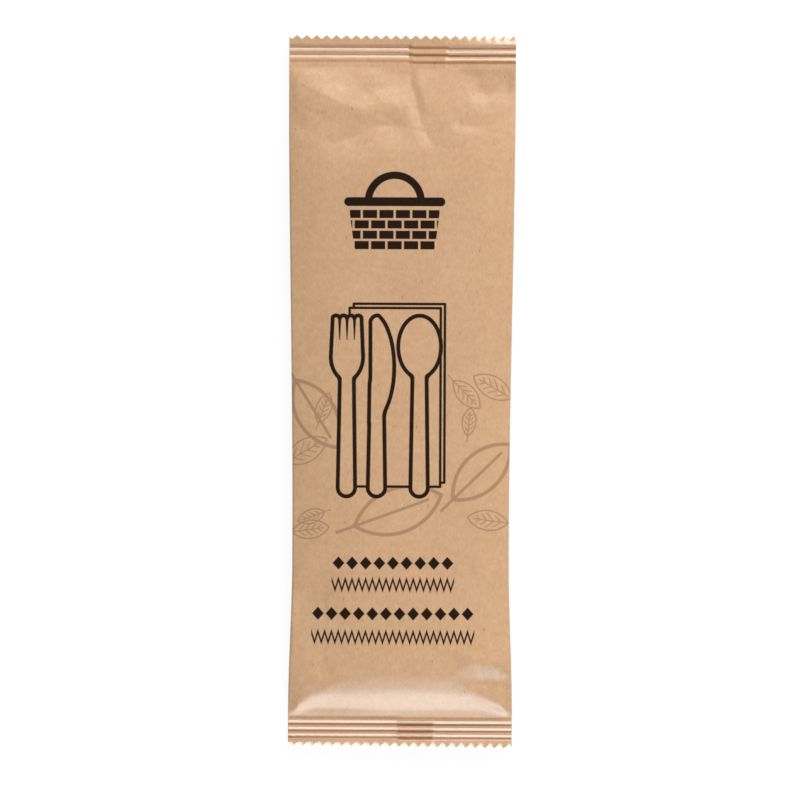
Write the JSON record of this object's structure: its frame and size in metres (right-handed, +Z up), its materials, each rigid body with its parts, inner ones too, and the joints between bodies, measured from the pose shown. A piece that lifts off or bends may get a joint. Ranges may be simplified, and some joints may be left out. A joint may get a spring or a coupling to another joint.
{
  "type": "sealed paper cutlery pack",
  "caption": "Flat kraft paper flow pack of wooden picnic cutlery and a napkin, with ribbed zigzag-cut end seals and a fin seal folded flat down its back.",
  "frame": {"origin": "on the table under the centre of the pack's box, with the pack lying on its back", "axes": "+X across the pack to the right seen from the front, +Y along it towards the head seal, +Z up out of the printed front panel"},
  "size_m": [0.072, 0.226, 0.0084],
  "materials": {
    "kraft_paper": "brown machine-glazed kraft, satin, printed in black and dark brown on the front"
  },
  "bodies": {
    "root": {"sealed_cutlery_pack": "kraft_paper"}
  },
  "joints": []
}
